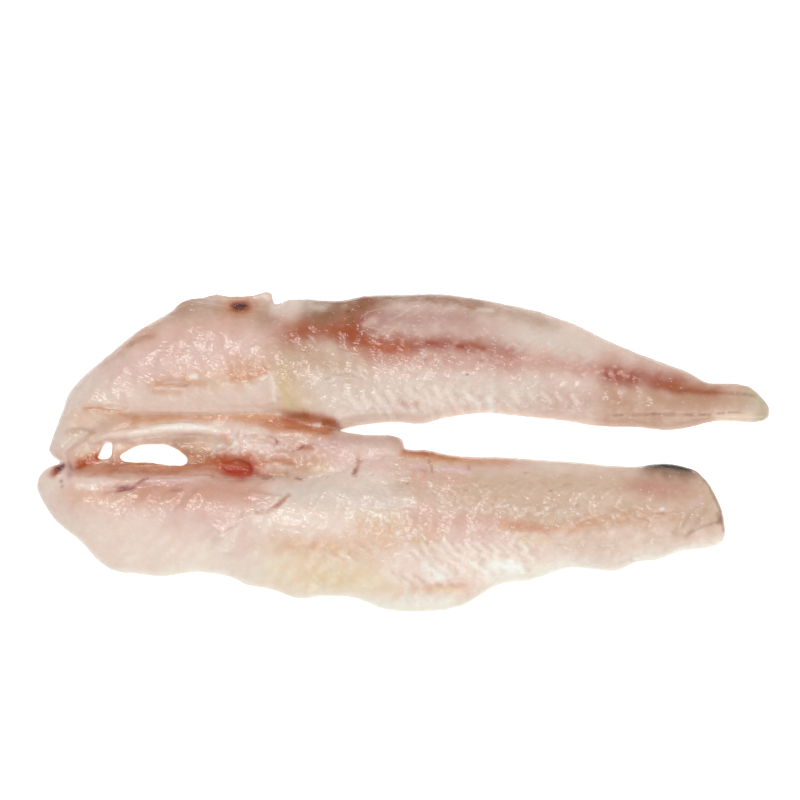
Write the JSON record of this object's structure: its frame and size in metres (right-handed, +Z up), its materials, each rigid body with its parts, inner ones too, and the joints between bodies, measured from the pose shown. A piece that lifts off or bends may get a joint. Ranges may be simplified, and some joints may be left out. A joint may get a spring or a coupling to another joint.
{
  "type": "double whiting fillet",
  "caption": "Raw skinless white fish fillet, two long tapering sides still joined at the head end by a thin torn web, lying flat.",
  "frame": {"origin": "middle of the bounding box, on the flat underside that the fillet lies on", "axes": "+X from the joined head end towards the two tails, +Y across from the near side to the far side, +Z up out of the shown face"},
  "size_m": [0.2298, 0.1052, 0.0119],
  "materials": {
    "flesh": "moist translucent raw flesh, cream to pink, with a wet sheen"
  },
  "bodies": {
    "root": {"fillet": "flesh"}
  },
  "joints": []
}
